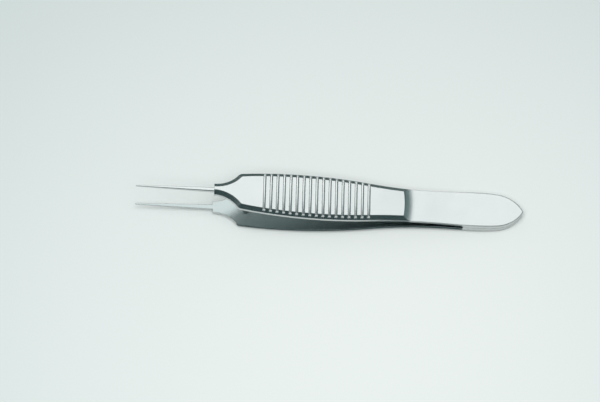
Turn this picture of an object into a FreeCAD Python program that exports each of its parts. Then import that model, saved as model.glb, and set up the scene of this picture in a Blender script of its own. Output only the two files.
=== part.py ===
import FreeCAD, Part
import math
import os
import Sketcher
from FreeCAD import Placement, Rotation, Vector

# Thumb forceps with two sprung blades, a ribbed grip and needle tips.
# A blade is drawn in its own frame: the tail end at x = 0, +X towards the tips,
# z = 0 on the plane where the two blades meet, and +Z out of the pair.
# Lengths are in millimetres and angles in degrees.

SIZES = [
    ("weld_length", 15.5, "tail end to the blunt end of the slot"),
    ("tail_width", 9.62, "widest part of the tail"),
    ("tail_widest", 12.0, "tail end to its widest part"),
    ("tail_side_radius", 53.0, "side of the tail in plan"),
    ("tail_flank_radius", 8.7, "side of the pointed tail end in plan"),
    ("tail_tip_radius", 0.5, "rounding of the tail's point"),
    ("tail_thickness", 1.34, "tail of one blade"),
    ("slot_relief", 0.42, "half the slot's height at its blunt end"),
    ("strip_thickness", 0.7, "spring strip where it meets the step"),
    ("strip_bend_radius", 160.0, "outer bend from the tail into the strip"),
    ("spring_length", 15.25, "slot end to the edge of the step"),
    ("spring_angle", 2.54, "strip's inner face to the mid-plane"),
    ("waist_width", 8.95, "narrowest part of the strip"),
    ("waist_offset", 9.5, "slot end to the narrowest part"),
    ("bend_setback", 1.5, "step edge back to the inner bend"),
    ("inner_bend_radius", 120.0, "inner bend from the strip into the grip"),
    ("step_radius", 5.1, "hollow of the step"),
    ("step_bow_radius", 25.0, "bow of the step in plan"),
    ("grip_length", 49.15, "step edge to the nose end"),
    ("grip_angle", 4.1, "grip to the mid-plane"),
    ("grip_thickness", 1.5, "grip at its flat face"),
    ("grip_width", 12.2, "belly of the grip"),
    ("grip_side_radius", 142.0, "side of the grip in plan"),
    ("bevel_run", 1.13, "bevel measured across the grip"),
    ("bevel_height", 0.7, "bevel measured down the grip"),
    ("shoulder_radius", 1.5, "corner of the shoulder in plan"),
    ("nose_sweep_radius", 7.8, "sweep from the shoulder into the nose in plan"),
    ("nose_width", 3.06, "end of the nose"),
    ("rib_count", 17, "ribs across the grip"),
    ("rib_pitch", 1.69, "rib to rib"),
    ("rib_radius", 0.36, "half-round rib"),
    ("rib_setback", 9.3, "step edge to the rearmost rib"),
    ("rib_end_inset", 0.42, "side of the blade to the rib's end"),
    ("rib_end_radius", 0.55, "rounding of the rib's end"),
    ("rib_root", 0.65, "depth of a rib's root inside the blade"),
    ("shaft_length", 20.0, "nose end to the tip"),
    ("shaft_angle", 1.1, "shaft to the mid-plane"),
    ("shaft_root_width", 1.24, "shaft where it leaves the nose"),
    ("shaft_root_thickness", 0.72, "shaft where it leaves the nose"),
    ("shaft_root_rounding", 0.32, "outer edges of the shaft at its root"),
    ("shaft_tip_width", 0.32, "shaft at the tip"),
    ("shaft_tip_thickness", 0.3, "shaft at the tip"),
    ("shaft_tip_rounding", 0.1, "outer edges of the shaft at the tip"),
    ("pin_diameter", 2.0, "stop pin"),
    ("pin_setback", 8.4, "nose end back to the stop pin"),
    ("pin_reach", 1.9, "stop pin above its blade"),
    ("pin_floor", 0.1, "metal between the pin's seat and the ribs' roots"),
    ("pin_edge", 0.25, "chamfer round the pin's free end"),
]

# Spare stock around the finished outline, all of it cut away again.
TRIM = 2.0

# Height of the rib limit above the crests.
CREST_SPARE = 0.09

# How far behind the step the strip's seam and the rear of the grinding cut are, in step radii.
SEAM_SHARE, GRIND_SHARE = 0.62, 1.4

# Names for the numbers that sketch rules use: the horizontal axis, the origin and the points of a curve.
X_AXIS, ORIGIN = -1, (-1, 1)
START, END, CENTRE = range(1, 4)

# Places along the blade, measured from the tail end.
STEP_AT = "(sizes.weld_length + sizes.spring_length)"
BEND_AT = f"({STEP_AT} - sizes.bend_setback)"
BELLY_AT = f"({STEP_AT} + sizes.grip_length / 2)"
REAR_RIB_AT = f"({STEP_AT} + sizes.rib_setback)"
NOSE_AT = f"({STEP_AT} + sizes.grip_length)"
PIN_AT = f"({NOSE_AT} - sizes.pin_setback)"
TIP_AT = f"({NOSE_AT} + sizes.shaft_length)"
PIN_SEAT = "(sizes.grip_thickness - sizes.rib_root - sizes.pin_floor)"

# The grip's block starts behind the step and overlaps the strip up to the seam.
BLOCK_AT = f"({STEP_AT} - sizes.step_radius)"
SEAM_AT = f"({STEP_AT} - sizes.step_radius * {SEAM_SHARE})"
GRIND_AT = f"({STEP_AT} - sizes.step_radius * {GRIND_SHARE})"

# Heights above the mid-plane.
TAIL_TOP = "sizes.tail_thickness"
BEND_HEIGHT = f"(sizes.slot_relief + tan(sizes.spring_angle) * ({BEND_AT} - sizes.weld_length))"
NOSE_HEIGHT = f"({BEND_HEIGHT} + tan(sizes.grip_angle) * ({NOSE_AT} - {BEND_AT}))"
TIP_HEIGHT = f"({NOSE_HEIGHT} + tan(sizes.shaft_angle) * sizes.shaft_length)"
STEP_FOOT = "(sizes.slot_relief + tan(sizes.spring_angle) * sizes.spring_length + sizes.strip_thickness)"
STRIP_RISE = f"({STEP_FOOT} - {TAIL_TOP})"
STRIP_SLOPE = f"atan({STRIP_RISE} / sizes.spring_length)"


def strip_inner(at):
    """Height of the spring strip's inner face."""
    return f"(sizes.slot_relief + tan(sizes.spring_angle) * ({at} - sizes.weld_length))"


def strip_top(at):
    """Height of the spring strip's outer face."""
    return f"({TAIL_TOP} + {STRIP_RISE} / sizes.spring_length * ({at} - sizes.weld_length))"


def grip_inner(at):
    """Height of the grip's inner face."""
    return f"({BEND_HEIGHT} + tan(sizes.grip_angle) * ({at} - {BEND_AT}))"


def grip_outer(at):
    """Height of the grip's flat outer face."""
    return f"({grip_inner(at)} + sizes.grip_thickness)"


doc = FreeCAD.newDocument("thumb_forceps")
sheet = doc.addObject("Spreadsheet::Sheet", "sizes")
for row, (alias, number, note) in enumerate(SIZES, start=1):
    sheet.set(f"A{row}", alias)
    sheet.set(f"B{row}", str(number))
    sheet.set(f"C{row}", note)
    sheet.setAlias(f"B{row}", alias)
doc.recompute()


def value(expression):
    """Present value of an expression on the sheet."""
    return float(sheet.evalExpression(str(expression)))


def sketch_on(body, name, role, lift=None):
    """Sketch on one of the body's own origin planes, lifted off it along its normal."""
    sketch = body.newObject("Sketcher::SketchObject", f"{body.Name}_{name}")
    plane = next(item for item in body.Origin.OriginFeatures if item.Role == role)
    sketch.AttachmentSupport = [(plane, "")]
    sketch.MapMode = "FlatFace"
    if lift is not None:
        sketch.setExpression("AttachmentOffset.Base.z", lift)
    return sketch


def rule(sketch, kind, *places):
    """Geometric rule such as Tangent or Vertical."""
    sketch.addConstraint(Sketcher.Constraint(kind, *places))


def drive(sketch, kind, places, expression):
    """Dimension bound to the sheet."""
    index = sketch.addConstraint(Sketcher.Constraint(kind, *places, value(expression)))
    sketch.setExpression(f"Constraints[{index}]", str(expression))


def place(sketch, geometry, position, x, y):
    """Fix a point by its two distances from the sketch's origin."""
    drive(sketch, "DistanceX", (geometry, position), x)
    drive(sketch, "DistanceY", (geometry, position), y)


def arc(sketch, centre, first, last):
    """Arc drawn anticlockwise from first to last about centre, before any rule holds it."""
    circle = Part.Circle(centre, Vector(0, 0, 1), (first - centre).Length)
    angles = [math.atan2(point.y - centre.y, point.x - centre.x) for point in (first, last)]
    return sketch.addGeometry(Part.ArcOfCircle(circle, *angles), False)


def outline(sketch, corners):
    """Closed outline of straight runs. A corner is (x, y) or (x, y, rounding radius)."""
    points = [Vector(value(corner[0]), value(corner[1]), 0) for corner in corners]
    count = len(points)
    entries, exits, arcs = [], [], {}
    for index, corner in enumerate(corners):
        point = points[index]
        back = (points[index - 1] - point).normalize()
        ahead = (points[(index + 1) % count] - point).normalize()
        if len(corner) == 2:
            entries.append(point)
            exits.append(point)
            continue
        radius = value(corner[2])
        half_angle = back.getAngle(ahead) / 2
        reach = radius / math.tan(half_angle)
        entries.append(point + back * reach)
        exits.append(point + ahead * reach)
        centre = point + (back + ahead).normalize() * (radius / math.sin(half_angle))
        turns_left = (point - points[index - 1]).cross(ahead).z > 0
        ends = (entries[-1], exits[-1]) if turns_left else (exits[-1], entries[-1])
        arcs[index] = (arc(sketch, centre, *ends), START if turns_left else END)
    lines = []
    for index in range(count):
        segment = Part.LineSegment(exits[index], entries[(index + 1) % count])
        lines.append(sketch.addGeometry(segment, False))
    for index, corner in enumerate(corners):
        before, after = lines[index - 1], lines[index]
        if index not in arcs:
            rule(sketch, "Coincident", before, END, after, START)
            place(sketch, after, START, *corner)
            continue
        bend, entry_end = arcs[index]
        exit_end = END if entry_end == START else START
        rule(sketch, "Tangent", before, END, bend, entry_end)
        rule(sketch, "Tangent", bend, exit_end, after, START)
        drive(sketch, "Radius", (bend,), corner[2])
        apex = sketch.addGeometry(Part.Point(points[index]), True)
        rule(sketch, "PointOnObject", apex, START, before)
        rule(sketch, "PointOnObject", apex, START, after)
        place(sketch, apex, START, corner[0], corner[1])


def feature(body, kind, name, **settings):
    """PartDesign feature with its settings; a number given as text is bound to the sheet."""
    made = body.newObject(f"PartDesign::{kind}", f"{body.Name}_{name}")
    for setting, given in settings.items():
        if isinstance(given, str) and "sizes." in given:
            made.setExpression(setting, given)
        else:
            setattr(made, setting, given)
    body.Tip = made
    doc.recompute()
    return made


def edges_where(shape, wanted):
    """Names of the edges whose end points all pass a test, and that run lengthwise."""
    names = []
    for number, edge in enumerate(shape.Edges, start=1):
        points = [vertex.Point for vertex in edge.Vertexes]
        lengthwise = abs(points[0].x - points[-1].x) > 1e-3
        if lengthwise and all(wanted(point) for point in points):
            names.append(f"Edge{number}")
    return names


def on_grip_face(point):
    """True for a point on the grip's flat outer face."""
    return abs(point.z - value(grip_outer(point.x))) < 1e-5


def meet_on_left(centre_1, reach_1, centre_2, reach_2):
    """Point at the given distances from two centres, on the left of the way between them."""
    span = centre_2 - centre_1
    along = (reach_1 ** 2 - reach_2 ** 2 + span.Length ** 2) / (2 * span.Length)
    aside = math.sqrt(reach_1 ** 2 - along ** 2)
    ahead = Vector(span).normalize()
    return centre_1 + ahead * along + Vector(-ahead.y, ahead.x, 0) * aside


def towards(start, goal, distance):
    """Point at a distance from start on the way to goal."""
    return start + (goal - start).normalize() * distance


def side_outline(sketch):
    """Side of the blade in plan, from the tail's point to the end of the nose."""
    tip_r, flank_r, tail_r = (value(f"sizes.tail_{part}_radius") for part in ("tip", "flank", "side"))
    grip_r, sweep_r = value("sizes.grip_side_radius"), value("sizes.nose_sweep_radius")
    shoulder_r = value("sizes.shoulder_radius")
    tail_point = Vector(0, 0, 0)
    widest = Vector(value("sizes.tail_widest"), value("sizes.tail_width / 2"), 0)
    waist = Vector(value("sizes.weld_length + sizes.waist_offset"), value("sizes.waist_width / 2"), 0)
    belly = Vector(value(BELLY_AT), value("sizes.grip_width / 2"), 0)
    nose = Vector(value(NOSE_AT), value("sizes.nose_width / 2"), 0)

    # Centres of the arcs whose radius and place are given.
    tip_c = Vector(tip_r, 0, 0)
    tail_c = widest - Vector(0, tail_r, 0)
    grip_c = belly - Vector(0, grip_r, 0)
    sweep_c = nose + Vector(0, sweep_r, 0)

    # Centres of the arcs that join them.
    flank_c = meet_on_left(tip_c, flank_r - tip_r, tail_c, tail_r - flank_r)
    shoulder_c = meet_on_left(grip_c, grip_r - shoulder_r, sweep_c, sweep_r + shoulder_r)

    def hollow_centre(crown, crown_r):
        """Centre of the hollow arc that leaves the waist level and meets a crown's arc."""
        run, drop = waist.x - crown.x, crown.y - waist.y
        return waist + Vector(0, (run ** 2 + drop ** 2) / (2 * drop) - crown_r, 0)

    rear_c, front_c = hollow_centre(widest, tail_r), hollow_centre(belly, grip_r)
    tail_end = towards(tail_c, rear_c, tail_r)
    grip_rear = towards(grip_c, front_c, grip_r)
    grip_front = towards(grip_c, shoulder_c, grip_r)
    shoulder_end = towards(shoulder_c, sweep_c, shoulder_r)
    flank_start = towards(flank_c, tip_c, flank_r)
    flank_end = towards(tail_c, flank_c, tail_r)

    tip = arc(sketch, tip_c, flank_start, tail_point)
    flank = arc(sketch, flank_c, flank_end, flank_start)
    tail = arc(sketch, tail_c, tail_end, flank_end)
    rear = arc(sketch, rear_c, tail_end, waist)
    front = arc(sketch, front_c, waist, grip_rear)
    grip = arc(sketch, grip_c, grip_front, grip_rear)
    shoulder = arc(sketch, shoulder_c, shoulder_end, grip_front)
    sweep = arc(sketch, sweep_c, shoulder_end, nose)

    rule(sketch, "PointOnObject", tip, CENTRE, X_AXIS)
    rule(sketch, "Coincident", tip, END, *ORIGIN)
    joins = [
        (tip, START, flank, END), (flank, START, tail, END), (tail, START, rear, START),
        (front, END, grip, END), (grip, START, shoulder, END), (shoulder, START, sweep, START),
    ]
    for join in joins:
        rule(sketch, "Tangent", *join)
    rule(sketch, "Coincident", rear, END, front, START)
    rule(sketch, "Vertical", rear, CENTRE, rear, END)
    rule(sketch, "Vertical", front, CENTRE, front, START)
    rule(sketch, "Vertical", sweep, CENTRE, sweep, END)
    place(sketch, rear, END, "sizes.weld_length + sizes.waist_offset", "sizes.waist_width / 2")
    place(sketch, sweep, END, NOSE_AT, "sizes.nose_width / 2")
    for crown, point, at, half_width in (
        (tail, widest, "sizes.tail_widest", "sizes.tail_width / 2"),
        (grip, belly, BELLY_AT, "sizes.grip_width / 2"),
    ):
        mark = sketch.addGeometry(Part.Point(point), True)
        rule(sketch, "PointOnObject", mark, START, crown)
        rule(sketch, "Vertical", mark, START, crown, CENTRE)
        place(sketch, mark, START, at, half_width)
    for curve, radius in (
        (tip, "tail_tip"), (flank, "tail_flank"), (tail, "tail_side"),
        (grip, "grip_side"), (shoulder, "shoulder"), (sweep, "nose_sweep"),
    ):
        drive(sketch, "Radius", (curve,), f"sizes.{radius}_radius")

    # The waste outside runs round the stock and back to the tail's point.
    front_edge, side_edge = f"({NOSE_AT} + {TRIM})", f"(sizes.grip_width / 2 + {TRIM})"
    rim = [
        (NOSE_AT, "sizes.nose_width / 2"), (front_edge, "sizes.nose_width / 2"),
        (front_edge, side_edge), (-TRIM, side_edge), (-TRIM, 0), (0, 0),
    ]
    points = [Vector(value(x), value(y), 0) for x, y in rim]
    lines = [sketch.addGeometry(Part.LineSegment(*pair), False) for pair in zip(points, points[1:])]
    rule(sketch, "Coincident", sweep, END, lines[0], START)
    for before, after in zip(lines, lines[1:]):
        rule(sketch, "Coincident", before, END, after, START)
    rule(sketch, "Coincident", lines[-1], END, tip, END)
    rule(sketch, "Horizontal", lines[0])
    for line, (x, y) in zip(lines[1:-1], rim[2:-1]):
        place(sketch, line, END, x, y)
    drive(sketch, "DistanceX", (lines[0], END), front_edge)


def trim_to_plan(body):
    """Cut both sides of a body to the blade's outline in plan."""
    waste = sketch_on(body, "plan", "XY_Plane")
    side_outline(waste)
    side = feature(body, "Pocket", "side", Profile=waste, Type="ThroughAll", SideType="Symmetric")
    middle = next(item for item in body.Origin.OriginFeatures if item.Role == "XZ_Plane")
    return feature(body, "Mirrored", "other_side", Originals=[side], MirrorPlane=(middle, [""]))


def pad_side_view(body, corners):
    """Stock with the given side view, across the full width."""
    view = sketch_on(body, "side_view", "XZ_Plane")
    outline(view, corners)
    width = f"sizes.grip_width + {2 * TRIM}"
    return feature(body, "Pad", "stock", Profile=view, SideType="Symmetric", Length=width)


def grind_step(body):
    """Hollow, slightly bowed step from the grip's flat face down to the strip."""
    radius, edge_x = value("sizes.step_radius"), value(STEP_AT)
    edge = Vector(edge_x, value(grip_outer(STEP_AT)), 0)
    along = Vector(value("sizes.spring_length"), value(STRIP_RISE), 0).normalize()
    normal = Vector(-along.y, along.x, 0)
    foot = Vector(edge_x, value(strip_top(STEP_AT)), 0)
    rise = (edge - foot).dot(normal)
    ahead = (edge - foot).dot(along)
    run = math.sqrt(2 * radius * rise - rise ** 2)
    start = foot + along * (ahead - run)
    rear = Vector(value(GRIND_AT), value(strip_top(GRIND_AT)), 0)
    top = f"({grip_outer(STEP_AT)} + {TRIM})"
    over, back = Vector(edge.x, value(top), 0), Vector(rear.x, value(top), 0)
    axle = edge + along * value("sizes.step_bow_radius")

    sketch = sketch_on(body, "step", "XZ_Plane")
    hollow = arc(sketch, start + normal * radius, start, edge)
    floor = sketch.addGeometry(Part.LineSegment(rear, start), False)
    up = sketch.addGeometry(Part.LineSegment(edge, over), False)
    across = sketch.addGeometry(Part.LineSegment(over, back), False)
    down = sketch.addGeometry(Part.LineSegment(back, rear), False)
    axis = sketch.addGeometry(Part.LineSegment(axle, axle + normal), True)
    rule(sketch, "Tangent", floor, END, hollow, START)
    for before, after in ((hollow, up), (up, across), (across, down), (down, floor)):
        rule(sketch, "Coincident", before, END, after, START)
    for line in (up, down):
        rule(sketch, "Vertical", line)
    rule(sketch, "Horizontal", across)
    drive(sketch, "Radius", (hollow,), "sizes.step_radius")
    mark = sketch.addGeometry(Part.Point(Vector(value(BLOCK_AT), value(strip_top(BLOCK_AT)), 0)), True)
    place(sketch, mark, START, BLOCK_AT, strip_top(BLOCK_AT))
    rule(sketch, "PointOnObject", mark, START, floor)
    place(sketch, hollow, END, STEP_AT, grip_outer(STEP_AT))
    place(sketch, floor, START, GRIND_AT, strip_top(GRIND_AT))
    drive(sketch, "DistanceY", (up, END), top)
    rule(sketch, "Perpendicular", axis, floor)
    place(sketch, axis, START, f"{STEP_AT} + sizes.step_bow_radius * cos({STRIP_SLOPE})",
          f"{grip_outer(STEP_AT)} + sizes.step_bow_radius * sin({STRIP_SLOPE})")
    drive(sketch, "Distance", (axis,), 1)
    sweep = f"2 * asin(sizes.grip_width / 2 / (sizes.step_bow_radius + {TRIM}))"
    return feature(body, "Groove", "step_hollow", Profile=sketch, ReferenceAxis=(sketch, ["Axis0"]),
                   Midplane=True, Angle=sweep)


def make_tail(name):
    """Flat tail and spring strip."""
    body = doc.addObject("PartDesign::Body", f"{name}_tail")
    pad_side_view(body, [
        (-TRIM, 0),
        ("sizes.weld_length", 0),
        ("sizes.weld_length", "sizes.slot_relief"),
        (SEAM_AT, strip_inner(SEAM_AT)),
        (SEAM_AT, strip_top(SEAM_AT)),
        ("sizes.weld_length", TAIL_TOP, "sizes.strip_bend_radius"),
        (-TRIM, TAIL_TOP),
    ])
    trim_to_plan(body)
    return body


def shaft_section(body, name, at, height, end):
    """Flat-backed section of the shaft with rounded outer edges."""
    half, thickness = f"sizes.shaft_{end}_width / 2", f"sizes.shaft_{end}_thickness"
    rounding = f"sizes.shaft_{end}_rounding"
    section = sketch_on(body, name, "YZ_Plane", at)
    outline(section, [
        (f"-{half}", height), (half, height),
        (half, f"{height} + {thickness}", rounding),
        (f"-{half}", f"{height} + {thickness}", rounding),
    ])
    return section


def make_grip(name, pin_seat):
    """Bevelled grip and nose, with the hollow step behind them and the needle shaft in front."""
    body = doc.addObject("PartDesign::Body", f"{name}_grip")
    pad_side_view(body, [
        (BLOCK_AT, strip_inner(BLOCK_AT)),
        (BEND_AT, BEND_HEIGHT, "sizes.inner_bend_radius"),
        (NOSE_AT, NOSE_HEIGHT),
        (NOSE_AT, grip_outer(NOSE_AT)),
        (BLOCK_AT, grip_outer(BLOCK_AT)),
    ])
    trimmed = trim_to_plan(body)
    rims = edges_where(trimmed.Shape, on_grip_face)
    feature(body, "Chamfer", "bevels", Base=(trimmed, rims), ChamferType="Two distances",
            Size="sizes.bevel_height", Size2="sizes.bevel_run")
    grind_step(body)
    if pin_seat:
        seat = sketch_on(body, "pin_seat", "XY_Plane")
        ring = seat.addGeometry(Part.Circle(Vector(value(PIN_AT), 0, 0), Vector(0, 0, 1), 1), False)
        place(seat, ring, CENTRE, PIN_AT, 0)
        drive(seat, "Diameter", (ring,), "sizes.pin_diameter")
        feature(body, "Pocket", "pin_hole", Profile=seat, Type="Length", Reversed=True,
                Length=f"{grip_inner(PIN_AT)} + {PIN_SEAT}")
    root = shaft_section(body, "shaft_root", NOSE_AT, NOSE_HEIGHT, "root")
    tip = shaft_section(body, "shaft_tip", TIP_AT, TIP_HEIGHT, "tip")
    feature(body, "AdditiveLoft", "shaft", Profile=root, Sections=[tip], Ruled=True)
    return body


def lay_on_grip(body, at):
    """Lay a body's origin on the grip's flat face, with its +X along the face."""
    body.Placement = Placement(Vector(), Rotation(Vector(0, -1, 0), value("sizes.grip_angle")))
    body.setExpression("Placement.Rotation.Angle", "sizes.grip_angle")
    body.setExpression("Placement.Base.x", at)
    body.setExpression("Placement.Base.z", grip_outer(at))


def make_ribs(name):
    """Half-round ribs, cut off round at both sides just inside the blade's edge."""
    bars = doc.addObject("PartDesign::Body", f"{name}_bars")
    lay_on_grip(bars, REAR_RIB_AT)
    radius, root = value("sizes.rib_radius"), value("sizes.rib_root")
    section = sketch_on(bars, "section", "XZ_Plane")
    crest = arc(section, Vector(), Vector(radius, 0, 0), Vector(-radius, 0, 0))
    corners = [Vector(x, y, 0) for x, y in ((-radius, 0), (-radius, -root), (radius, -root), (radius, 0))]
    left, bottom, right = (
        section.addGeometry(Part.LineSegment(*pair), False) for pair in zip(corners, corners[1:])
    )
    rule(section, "Coincident", crest, CENTRE, *ORIGIN)
    rule(section, "PointOnObject", crest, START, X_AXIS)
    rule(section, "PointOnObject", crest, END, X_AXIS)
    rule(section, "Coincident", crest, END, left, START)
    rule(section, "Coincident", left, END, bottom, START)
    rule(section, "Coincident", bottom, END, right, START)
    rule(section, "Coincident", right, END, crest, START)
    rule(section, "Vertical", left)
    rule(section, "Vertical", right)
    rule(section, "Horizontal", bottom)
    drive(section, "Radius", (crest,), "sizes.rib_radius")
    drive(section, "DistanceY", (bottom, START), "-sizes.rib_root")
    bar = feature(bars, "Pad", "bar", Profile=section, SideType="Symmetric", Length="sizes.grip_width")
    feature(bars, "LinearPattern", "row", Originals=[bar], Direction=(section, ["H_Axis"]),
            Length="sizes.rib_pitch * (sizes.rib_count - 1)", Occurrences="sizes.rib_count")

    limit = doc.addObject("PartDesign::Body", f"{name}_rib_limit")
    start_at = f"({REAR_RIB_AT} - sizes.rib_pitch * cos(sizes.grip_angle))"
    lay_on_grip(limit, start_at)
    reach = "sizes.rib_pitch * (sizes.rib_count + 1)"
    belly_x = f"({BELLY_AT} - {start_at}) / cos(sizes.grip_angle)"
    half = "(sizes.grip_width / 2 - sizes.rib_end_inset)"
    side_radius = "(sizes.grip_side_radius - sizes.rib_end_inset)"
    plan = sketch_on(limit, "plan", "XY_Plane")

    def side_point(x, sign):
        offset = value(x) - value(belly_x)
        fall = value(side_radius) - math.sqrt(value(side_radius) ** 2 - offset ** 2)
        return Vector(value(x), sign * (value(half) - fall), 0)

    centre = Vector(value(belly_x), value(half) - value(side_radius), 0)
    far = arc(plan, centre, side_point(reach, 1), side_point(0, 1))
    near = arc(plan, Vector(centre.x, -centre.y, 0), side_point(0, -1), side_point(reach, -1))
    rear = plan.addGeometry(Part.LineSegment(side_point(0, 1), side_point(0, -1)), False)
    front = plan.addGeometry(Part.LineSegment(side_point(reach, -1), side_point(reach, 1)), False)
    for before, after in ((far, rear), (rear, near), (near, front), (front, far)):
        rule(plan, "Coincident", before, END, after, START)
    for line, x in ((rear, 0), (front, reach)):
        rule(plan, "Vertical", line)
        drive(plan, "DistanceX", (line, START), x)
    for side, sign in ((far, ""), (near, "-")):
        mark = plan.addGeometry(Part.Point(Vector(centre.x, value(f"{sign}{half}"), 0)), True)
        rule(plan, "PointOnObject", mark, START, side)
        rule(plan, "Vertical", mark, START, side, CENTRE)
        place(plan, mark, START, belly_x, f"{sign}{half}")
        drive(plan, "Radius", (side,), side_radius)
    block = feature(limit, "Pad", "block", Profile=plan, SideType="Two sides",
                    Length=f"sizes.rib_radius + {CREST_SPARE}", Length2=f"sizes.rib_root + {TRIM}")
    rims = edges_where(block.Shape, lambda point: point.z > 0)
    feature(limit, "Fillet", "round_ends", Base=(block, rims), Radius="sizes.rib_end_radius")

    ribs = doc.addObject("Part::Common", f"{name}_ribs")
    ribs.Base, ribs.Tool = bars, limit
    return ribs


def make_blade(name, pin_seat, placement):
    """One whole blade, set where it lies in the finished pair."""
    blade = doc.addObject("Part::MultiFuse", name)
    blade.Label = name
    blade.Shapes = [make_tail(name), make_grip(name, pin_seat), make_ribs(name)]
    blade.Refine = True
    blade.Placement = placement
    doc.recompute()
    return blade


def make_pin(placement):
    """Stop pin, drawn upside down in the blade's frame: its free end points to the mid-plane."""
    body = doc.addObject("PartDesign::Body", "stop_pin")
    body.Label = "stop_pin"
    face = sketch_on(body, "face", "XY_Plane", f"{grip_inner(PIN_AT)} - sizes.pin_reach")
    ring = face.addGeometry(Part.Circle(Vector(value(PIN_AT), 0, 0), Vector(0, 0, 1), 1), False)
    place(face, ring, CENTRE, PIN_AT, 0)
    drive(face, "Diameter", (ring,), "sizes.pin_diameter")
    rod = feature(body, "Pad", "rod", Profile=face, Length=f"sizes.pin_reach + {PIN_SEAT}")
    low = rod.Shape.BoundBox.ZMin
    rims = [f"Edge{number}" for number, edge in enumerate(rod.Shape.Edges, start=1)
            if edge.BoundBox.ZMax < low + 1e-5]
    feature(body, "Chamfer", "free_end", Base=(rod, rims), Size="sizes.pin_edge")
    body.Placement = placement
    return body


def resting_angle():
    """Slope of the pair when it lies on the tail's end and on the first thing that it meets."""
    tail_top, rib_radius = value(TAIL_TOP), value("sizes.rib_radius")
    angles = []
    for number in range(int(value("sizes.rib_count"))):
        along = number * value("sizes.rib_pitch") * math.cos(math.radians(value("sizes.grip_angle")))
        at = value(REAR_RIB_AT) + along
        rise = value(grip_outer(at)) - tail_top
        angles.append(math.atan2(rise, at) + math.asin(rib_radius / math.hypot(at, rise)))
    tip_top = f"({TIP_HEIGHT} + sizes.shaft_tip_thickness)"
    for at, top in ((NOSE_AT, grip_outer(NOSE_AT)), (TIP_AT, tip_top)):
        angles.append(math.atan2(value(top) - tail_top, value(at)))
    return max(angles)


def lying_placement():
    """Where the pair lies: tail towards +X, tips raised, origin under the middle of its box."""
    angle = resting_angle()
    tail_top = value(TAIL_TOP)
    tip_top = value(TIP_HEIGHT) + value("sizes.shaft_tip_thickness")
    rear = tail_top * math.sin(angle)
    front = -value(TIP_AT) * math.cos(angle) - tip_top * math.sin(angle)
    shift = Vector(-(rear + front) / 2, 0, tail_top * math.cos(angle))
    raised = Rotation(Vector(0, 1, 0), math.degrees(angle))
    return Placement(shift, raised * Rotation(Vector(0, 0, 1), 180))


# The lower blade and its pin are the same way round as the upper blade, but turned over.
lying = lying_placement()
turned_over = Placement(Vector(), Rotation(Vector(1, 0, 0), 180))
nodes = [
    make_blade("upper_blade", False, lying),
    make_blade("lower_blade", True, lying * turned_over),
    make_pin(lying * turned_over),
]
doc.recompute()

for item in doc.Objects:
    if {"Invalid", "Error"} & set(item.State):
        raise RuntimeError(f"{item.Label} failed: {item.State}")
    if item.isDerivedFrom("Sketcher::SketchObject") and not item.FullyConstrained:
        raise RuntimeError(f"{item.Label} is not fully constrained")

os.makedirs("parts", exist_ok=True)
for node in nodes:
    if node.Shape.isNull() or not node.Shape.isValid() or len(node.Shape.Solids) != 1:
        raise RuntimeError(f"{node.Label} is not one sound solid")
    node.Shape.exportStep(f"parts/{node.Label}.step")
    box = node.Shape.optimalBoundingBox(False)
    print(node.Label, round(node.Shape.Volume, 3), [round(v, 3) for v in
          (box.XMin, box.YMin, box.ZMin, box.XMax, box.YMax, box.ZMax)])
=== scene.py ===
import math

import bpy
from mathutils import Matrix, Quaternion, Vector

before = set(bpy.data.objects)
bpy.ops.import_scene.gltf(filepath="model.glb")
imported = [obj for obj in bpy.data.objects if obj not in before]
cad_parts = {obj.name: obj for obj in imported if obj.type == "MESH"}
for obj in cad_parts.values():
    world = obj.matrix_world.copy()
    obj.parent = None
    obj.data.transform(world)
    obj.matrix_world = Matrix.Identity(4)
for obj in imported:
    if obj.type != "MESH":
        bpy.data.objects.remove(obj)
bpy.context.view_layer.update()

MM = 0.001

# Camera: a long lens that looks down on the forceps, with the tips on the left.
CAMERA_AZIMUTH = -1.65
CAMERA_ELEVATION = 63.0
CAMERA_ROLL = -0.25
CAMERA_DISTANCE = 0.7728
CAMERA_AIM = Vector((-7.51 * MM, 0.40 * MM, 5.31 * MM))
LENS, SENSOR = 180.0, 36.0

# Colours are linear.
STEEL = (0.585, 0.600, 0.600)
# Dull steel: the duller tone of the clouds and the pin, and the painted shade on the blades' inner sides.
DULL_AND_SHADED_STEEL = (0.455, 0.500, 0.500)
# The floor's middle and edge colours paint a pool of light on it; the middle one is also the pale room.
FLOOR_MIDDLE = (0.807, 0.857, 0.84)
FLOOR_EDGE = (0.55, 0.65, 0.64)
ROOM_FILL = (0.97, 1.0, 1.0)
ROOM_FILL_STRENGTH = 0.3
CARD_DARK = (0.05, 0.087, 0.090)
CARD_REAR = (0.09, 0.14, 0.135)
CARD_SIDE = (0.20, 0.29, 0.29)
CARD_MIDDLE = (0.50, 0.58, 0.58)
CARD_ABOVE = (0.26, 0.32, 0.32)
CARD_BRIGHT = (1.42, 1.49, 1.48)
CARD_BRIGHTEST = (1.75, 1.80, 1.78)

# Finish of the steel. A stroke is how dense its streaks are along x, y and z, per metre.
BLADE_ROUGHNESS, PIN_ROUGHNESS = 0.25, 0.30
ROUGHNESS_SPREAD = 0.012
BLADE_STROKE = (160.0, 9000.0, 9000.0)
PIN_STROKE = (4000.0, 4000.0, 4000.0)
STREAK_STRENGTH, STREAK_DEPTH = 0.008, 0.01 * MM

# Faint clouds: how much they count in the roughness, where in their noise the dull steel
# starts and is full, and its share there.
CLOUD_SCALE = 120.0
CLOUDS_IN_ROUGHNESS = 0.35
CLOUD_START, CLOUD_FULL, CLOUD_SHARE = 0.42, 0.72, 0.22

# A blade gets painted shade all over its inner side, between the blades, where its normal is this near
# upright: its colour is dulled there. The pin is this much duller than plain steel all over.
INNER_FACING = 0.9
PIN_DULLNESS = 0.5

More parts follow.
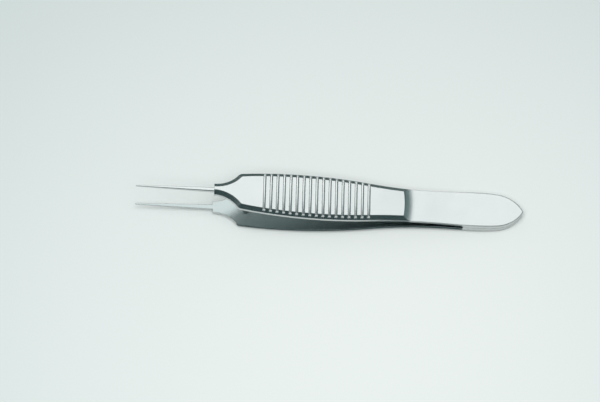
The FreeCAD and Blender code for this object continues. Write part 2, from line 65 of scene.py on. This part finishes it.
# Rounding of the edges, in the shading alone: crisp on the grip and the strip, eased on the tail.
CRISP_EDGE, EASED_EDGE = 0.12 * MM, 0.40 * MM
EASING_START, EASING_FULL = 33 * MM, 38 * MM

# The flat face of the upper grip: a point on it, and the way that it faces. What stands
# more than RIB_FOOT above it and lies in front of RIBS_END is a rib. RIB_LEAN tilts a rib's
# normal by its distance from the middle line.
GRIP_POINT = Vector((14.74 * MM, 0, 6.56 * MM))
GRIP_NORMAL = Vector((0.1346, 0, 0.9909))
RIB_FOOT = 0.03 * MM
RIBS_END = 11 * MM
RIB_LEAN = 0.046 / MM

# The floor's colour is a painted pool of light: brightest a little in front of the object and fading from
# there.
FLOOR_SIZE = 0.9
FLOOR_SHIFT = (-0.06, 0.12, 0.0)
FLOOR_FADE = (4.0, 4.0, 4.0)

# How far the reflection cards stand from the object, in metres.
CARD_DISTANCE = 0.7
SIDE_DISTANCE = 0.68
BRIGHT_DISTANCE = 0.8
BRIGHT_WIDTH = 1.19
BRIGHT_SHIFT = Vector((-0.135, 0, 0))
JUST_ABOVE = 0.02 * MM


def nodes_of(material):
    """Empty node tree of a material, with its output."""
    material.use_nodes = True
    tree = material.node_tree
    tree.nodes.clear()
    return tree, tree.nodes.new("ShaderNodeOutputMaterial")


def add(tree, kind, **settings):
    """Node with its settings; a setting that names a socket goes on the socket."""
    node = tree.nodes.new(f"ShaderNode{kind}")
    for name, given in settings.items():
        socket = node.inputs.get(name.replace("_", " ").title())
        if socket is None:
            setattr(node, name, given)
        else:
            socket.default_value = given
    return node


def maths(tree, operation, first, second):
    """Result of a Math node on two values, each a socket or a number."""
    node = add(tree, "Math", operation=operation)
    for place, given in zip(node.inputs, (first, second)):
        if isinstance(given, bpy.types.NodeSocket):
            tree.links.new(given, place)
        else:
            place.default_value = given
    return node.outputs["Value"]


def parts_of(tree, vector):
    """The x, y and z of a vector."""
    split = add(tree, "SeparateXYZ")
    tree.links.new(vector, split.inputs["Vector"])
    return split.outputs


def identified(sockets, identifier):
    """Socket by its identifier, for a node with several of one name."""
    return next(socket for socket in sockets if socket.identifier == identifier)


def painted_inner_shade(tree, inner_side):
    """1 on the flat inner side of a blade, which faces up (1) or down (-1), and 0 elsewhere: where the
    blade gets painted shade.
    """
    normal = add(tree, "NewGeometry").outputs["Normal"]
    upward = maths(tree, "MULTIPLY", parts_of(tree, normal)["Z"], inner_side)
    return maths(tree, "GREATER_THAN", upward, INNER_FACING)


def steel_colour(tree, clouds, least_dull_or_shaded):
    """Steel with faint duller clouds, and at least as dull as a number or a socket says. On a blade's inner
    side that dulling is painted shade.
    """
    link = tree.links.new
    cloudy = add(tree, "MapRange", from_min=CLOUD_START, from_max=CLOUD_FULL, to_max=CLOUD_SHARE)
    link(clouds, cloudy.inputs["Value"])
    tint_and_shade = add(tree, "Mix", data_type="RGBA")
    link(maths(tree, "MAXIMUM", cloudy.outputs["Result"], least_dull_or_shaded), tint_and_shade.inputs["Factor"])
    identified(tint_and_shade.inputs, "A_Color").default_value = (*STEEL, 1)
    identified(tint_and_shade.inputs, "B_Color").default_value = (*DULL_AND_SHADED_STEEL, 1)
    return identified(tint_and_shade.outputs, "Result_Color")


def eased(tree):
    """Normal with its edges rounded, more on the tail than elsewhere."""
    link = tree.links.new
    place = add(tree, "NewGeometry").outputs["Position"]
    radius = add(tree, "MapRange", from_min=EASING_START, from_max=EASING_FULL,
                 to_min=CRISP_EDGE, to_max=EASED_EDGE)
    edges = add(tree, "Bevel", samples=8)
    link(parts_of(tree, place)["X"], radius.inputs["Value"])
    link(radius.outputs["Result"], edges.inputs["Radius"])
    return edges.outputs["Normal"]


def graded(tree, normal):
    """Normal that leans outward along the ribs. The ribs are straight: the lean is shading alone,
    and grades them from bright at the far end to dark at the near one, as in the photograph."""
    link = tree.links.new
    place = add(tree, "NewGeometry").outputs["Position"]
    height = add(tree, "VectorMath", operation="DOT_PRODUCT")
    height.inputs[1].default_value = GRIP_NORMAL
    link(place, height.inputs[0])
    above = maths(tree, "GREATER_THAN", height.outputs["Value"], GRIP_POINT.dot(GRIP_NORMAL) + RIB_FOOT)
    parts = parts_of(tree, place)
    in_front = maths(tree, "LESS_THAN", parts["X"], RIBS_END)
    on_ribs = maths(tree, "MULTIPLY", above, in_front)
    lean = maths(tree, "MULTIPLY", parts["Y"], RIB_LEAN)
    sideways = add(tree, "CombineXYZ")
    leaning = add(tree, "VectorMath", operation="ADD")
    unit = add(tree, "VectorMath", operation="NORMALIZE")
    link(maths(tree, "MULTIPLY", lean, on_ribs), sideways.inputs["Y"])
    link(normal, leaning.inputs[0])
    link(sideways.outputs["Vector"], leaning.inputs[1])
    link(leaning.outputs["Vector"], unit.inputs[0])
    return unit.outputs["Vector"]


def satin_steel(name, roughness, stroke, inner_side=0):
    """Satin steel with fine streaks. A blade also says which way its inner side faces, where it gets
    painted shade.
    """
    material = bpy.data.materials.new(name)
    tree, output = nodes_of(material)
    link = tree.links.new
    where = add(tree, "TexCoord").outputs["Object"]
    streaks_at = add(tree, "Mapping", scale=stroke)
    streaks = add(tree, "TexNoise", scale=1.0, detail=3.0, roughness=0.6)
    clouds = add(tree, "TexNoise", scale=CLOUD_SCALE, detail=2.0, roughness=0.5)
    link(where, streaks_at.inputs["Vector"])
    link(streaks_at.outputs["Vector"], streaks.inputs["Vector"])
    link(where, clouds.inputs["Vector"])

    both = add(tree, "Mix", data_type="FLOAT", factor=CLOUDS_IN_ROUGHNESS)
    spread = add(tree, "MapRange", to_min=roughness - ROUGHNESS_SPREAD, to_max=roughness + ROUGHNESS_SPREAD)
    link(streaks.outputs["Fac"], both.inputs["A"])
    link(clouds.outputs["Fac"], both.inputs["B"])
    link(both.outputs["Result"], spread.inputs["Value"])

    bump = add(tree, "Bump", strength=STREAK_STRENGTH, distance=STREAK_DEPTH)
    link(streaks.outputs["Fac"], bump.inputs["Height"])
    link(graded(tree, eased(tree)), bump.inputs["Normal"])

    shader = add(tree, "BsdfPrincipled", metallic=1.0)
    # A blade's inner side gets painted shade; the pin gets its own duller tone.
    least_dull_or_shaded = painted_inner_shade(tree, inner_side) if inner_side else PIN_DULLNESS
    link(steel_colour(tree, clouds.outputs["Fac"], least_dull_or_shaded), shader.inputs["Base Color"])
    link(spread.outputs["Result"], shader.inputs["Roughness"])
    link(bump.outputs["Normal"], shader.inputs["Normal"])
    link(shader.outputs["BSDF"], output.inputs["Surface"])
    return material


def dress(node, material):
    """Give a CAD node its material."""
    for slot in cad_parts[node].material_slots:
        slot.material = material


def plane(name, size, place, facing):
    """Flat rectangle centred on a place and turned to face along a direction."""
    mesh = bpy.data.meshes.new(name)
    x, y = size[0] / 2, size[1] / 2
    mesh.from_pydata([(-x, -y, 0), (x, -y, 0), (x, y, 0), (-x, y, 0)], [], [(0, 1, 2, 3)])
    made = bpy.data.objects.new(name, mesh)
    bpy.context.collection.objects.link(made)
    made.location = place
    made.rotation_mode = "QUATERNION"
    made.rotation_quaternion = Vector(facing).to_track_quat("Z", "Y")
    return made


def direction(azimuth, elevation):
    """Unit vector from the object: azimuth 0 is behind it, 90 is at the tail's side."""
    a, e = math.radians(azimuth), math.radians(elevation)
    return Vector((math.sin(a) * math.cos(e), math.cos(a) * math.cos(e), math.sin(e)))


def reflection_card(name, size, place, facing, colour):
    """Card that only shiny surfaces see."""
    card = plane(name, size, place, facing)
    card.visible_camera = False
    card.visible_diffuse = False
    card.visible_shadow = False
    material = bpy.data.materials.new(name)
    tree, output = nodes_of(material)
    glow = add(tree, "Emission", color=(*colour, 1), strength=1.0)
    tree.links.new(glow.outputs["Emission"], output.inputs["Surface"])
    card.data.materials.append(material)


def pale_floor():
    """Matt tabletop with a painted pool of light: its colour is a little darker away from the middle."""
    floor = plane("floor", (FLOOR_SIZE, FLOOR_SIZE), (0, 0, 0), (0, 0, 1))
    material = bpy.data.materials.new("floor")
    tree, output = nodes_of(material)
    link = tree.links.new
    middle = add(tree, "Mapping", location=FLOOR_SHIFT, scale=FLOOR_FADE)
    rings = add(tree, "TexGradient", gradient_type="SPHERICAL")
    ramp = add(tree, "ValToRGB")
    ramp.color_ramp.interpolation = "EASE"
    ramp.color_ramp.elements[0].color = (*FLOOR_EDGE, 1)
    ramp.color_ramp.elements[1].color = (*FLOOR_MIDDLE, 1)
    matt = add(tree, "BsdfDiffuse")
    link(add(tree, "NewGeometry").outputs["Position"], middle.inputs["Vector"])
    link(middle.outputs["Vector"], rings.inputs["Vector"])
    link(rings.outputs["Color"], ramp.inputs["Fac"])
    link(ramp.outputs["Color"], matt.inputs["Color"])
    link(matt.outputs["BSDF"], output.inputs["Surface"])
    floor.data.materials.append(material)


def surroundings():
    """Pale room: as bright as the floor to the camera and in reflections, softer as a light."""
    world = bpy.data.worlds.new("surroundings")
    bpy.context.scene.world = world
    world.use_nodes = True
    tree = world.node_tree
    tree.nodes.clear()
    link = tree.links.new
    rays = add(tree, "LightPath").outputs
    seen = maths(tree, "MAXIMUM", rays["Is Camera Ray"], rays["Is Glossy Ray"])
    shown = maths(tree, "MAXIMUM", seen, rays["Is Transmission Ray"])
    pale = add(tree, "Background", color=(*FLOOR_MIDDLE, 1), strength=1.0)
    fill = add(tree, "Background", color=(*ROOM_FILL, 1), strength=ROOM_FILL_STRENGTH)
    mix = add(tree, "MixShader")
    output = add(tree, "OutputWorld")
    link(shown, mix.inputs["Fac"])
    link(fill.outputs["Background"], mix.inputs[1])
    link(pale.outputs["Background"], mix.inputs[2])
    link(mix.outputs["Shader"], output.inputs["Surface"])


def softbox(size, distance, azimuth, elevation, power):
    """Studio lamp that faces the object. The steel doesn't reflect it, as the cards are there for that."""
    lamp = bpy.data.lights.new("softbox", "AREA")
    lamp.shape = "RECTANGLE"
    lamp.size, lamp.size_y = size
    lamp.energy = power
    made = bpy.data.objects.new("softbox", lamp)
    bpy.context.collection.objects.link(made)
    towards = direction(azimuth, elevation)
    made.location = towards * distance
    made.rotation_mode = "QUATERNION"
    made.rotation_quaternion = towards.to_track_quat("Z", "Y")
    made.visible_glossy = False


def cards():
    """What the steel reflects: dark and grey cards round about, two bright ones above the rear."""
    for name, size, distance, azimuth, elevation, colour in (
        ("dark_front", (1.6, 0.75), CARD_DISTANCE, 180, 50, CARD_DARK),
        ("dark_rear", (1.6, 0.40), CARD_DISTANCE, 0, 10, CARD_REAR),
        ("dark_right", (1.2, 0.26), CARD_DISTANCE, 90, 9, CARD_DARK),
        ("dark_left", (1.2, 0.26), CARD_DISTANCE, -90, 9, CARD_DARK),
        ("grey_side", (0.9, 0.32), SIDE_DISTANCE, 68, 28, CARD_SIDE),
        ("grey_middle", (0.5, 0.12), SIDE_DISTANCE, 52, 47, CARD_MIDDLE),
        ("grey_above", (1.6, 0.26), CARD_DISTANCE, 180, 88, CARD_ABOVE),
    ):
        towards = direction(azimuth, elevation)
        reflection_card(name, size, towards * distance, -towards, colour)

    for name, height, elevation, colour in (
        ("bright_top", 0.36, 62, CARD_BRIGHT),
        ("bright_low", 0.28, 40, CARD_BRIGHTEST),
    ):
        towards = direction(0, elevation)
        place = towards * BRIGHT_DISTANCE + BRIGHT_SHIFT
        reflection_card(name, (BRIGHT_WIDTH, height), place, -towards, colour)

    # Dark patches just above the table, for the far bevels and the blades' near walls. The patch along the
    # lower blade's near wall is a painted contact shadow, and the one by the slot is painted shade in the
    # slot, both seen in the steel. Only reflections see them, and the camera sees the pale floor there.
    for name, size, place, colour in (
        ("dark_table", (1.6, 0.6), (0, 0.325, 0.001), CARD_REAR),
        ("painted_contact_shade", (0.046, 0.0030), (-0.002, -0.0063, JUST_ABOVE), CARD_DARK),
        ("painted_slot_shade", (0.0150, 0.0032), (0.0269, -0.0050, JUST_ABOVE), CARD_DARK),
    ):
        reflection_card(name, size, place, (0, 0, 1), colour)


def photo_camera():
    """Camera at the photograph's angle."""
    data = bpy.data.cameras.new("camera")
    data.lens = LENS
    data.sensor_width = SENSOR
    data.clip_start, data.clip_end = 0.01, 20.0
    camera = bpy.data.objects.new("camera", data)
    bpy.context.collection.objects.link(camera)
    back = direction(180 + CAMERA_AZIMUTH, CAMERA_ELEVATION)
    camera.location = CAMERA_AIM + back * CAMERA_DISTANCE
    camera.rotation_mode = "QUATERNION"
    upright = (-back).to_track_quat("-Z", "Y")
    camera.rotation_quaternion = upright @ Quaternion((0, 0, 1), math.radians(CAMERA_ROLL))
    bpy.context.scene.camera = camera


for node, inner_side in (("upper_blade", -1), ("lower_blade", 1)):
    dress(node, satin_steel(f"{node}_steel", BLADE_ROUGHNESS, BLADE_STROKE, inner_side))
dress("stop_pin", satin_steel("pin_steel", PIN_ROUGHNESS, PIN_STROKE))

pale_floor()
surroundings()
softbox(size=(0.6, 0.6), distance=0.75, azimuth=190, elevation=75, power=4.95)
cards()
photo_camera()

bpy.context.scene.view_settings.view_transform = "Standard"
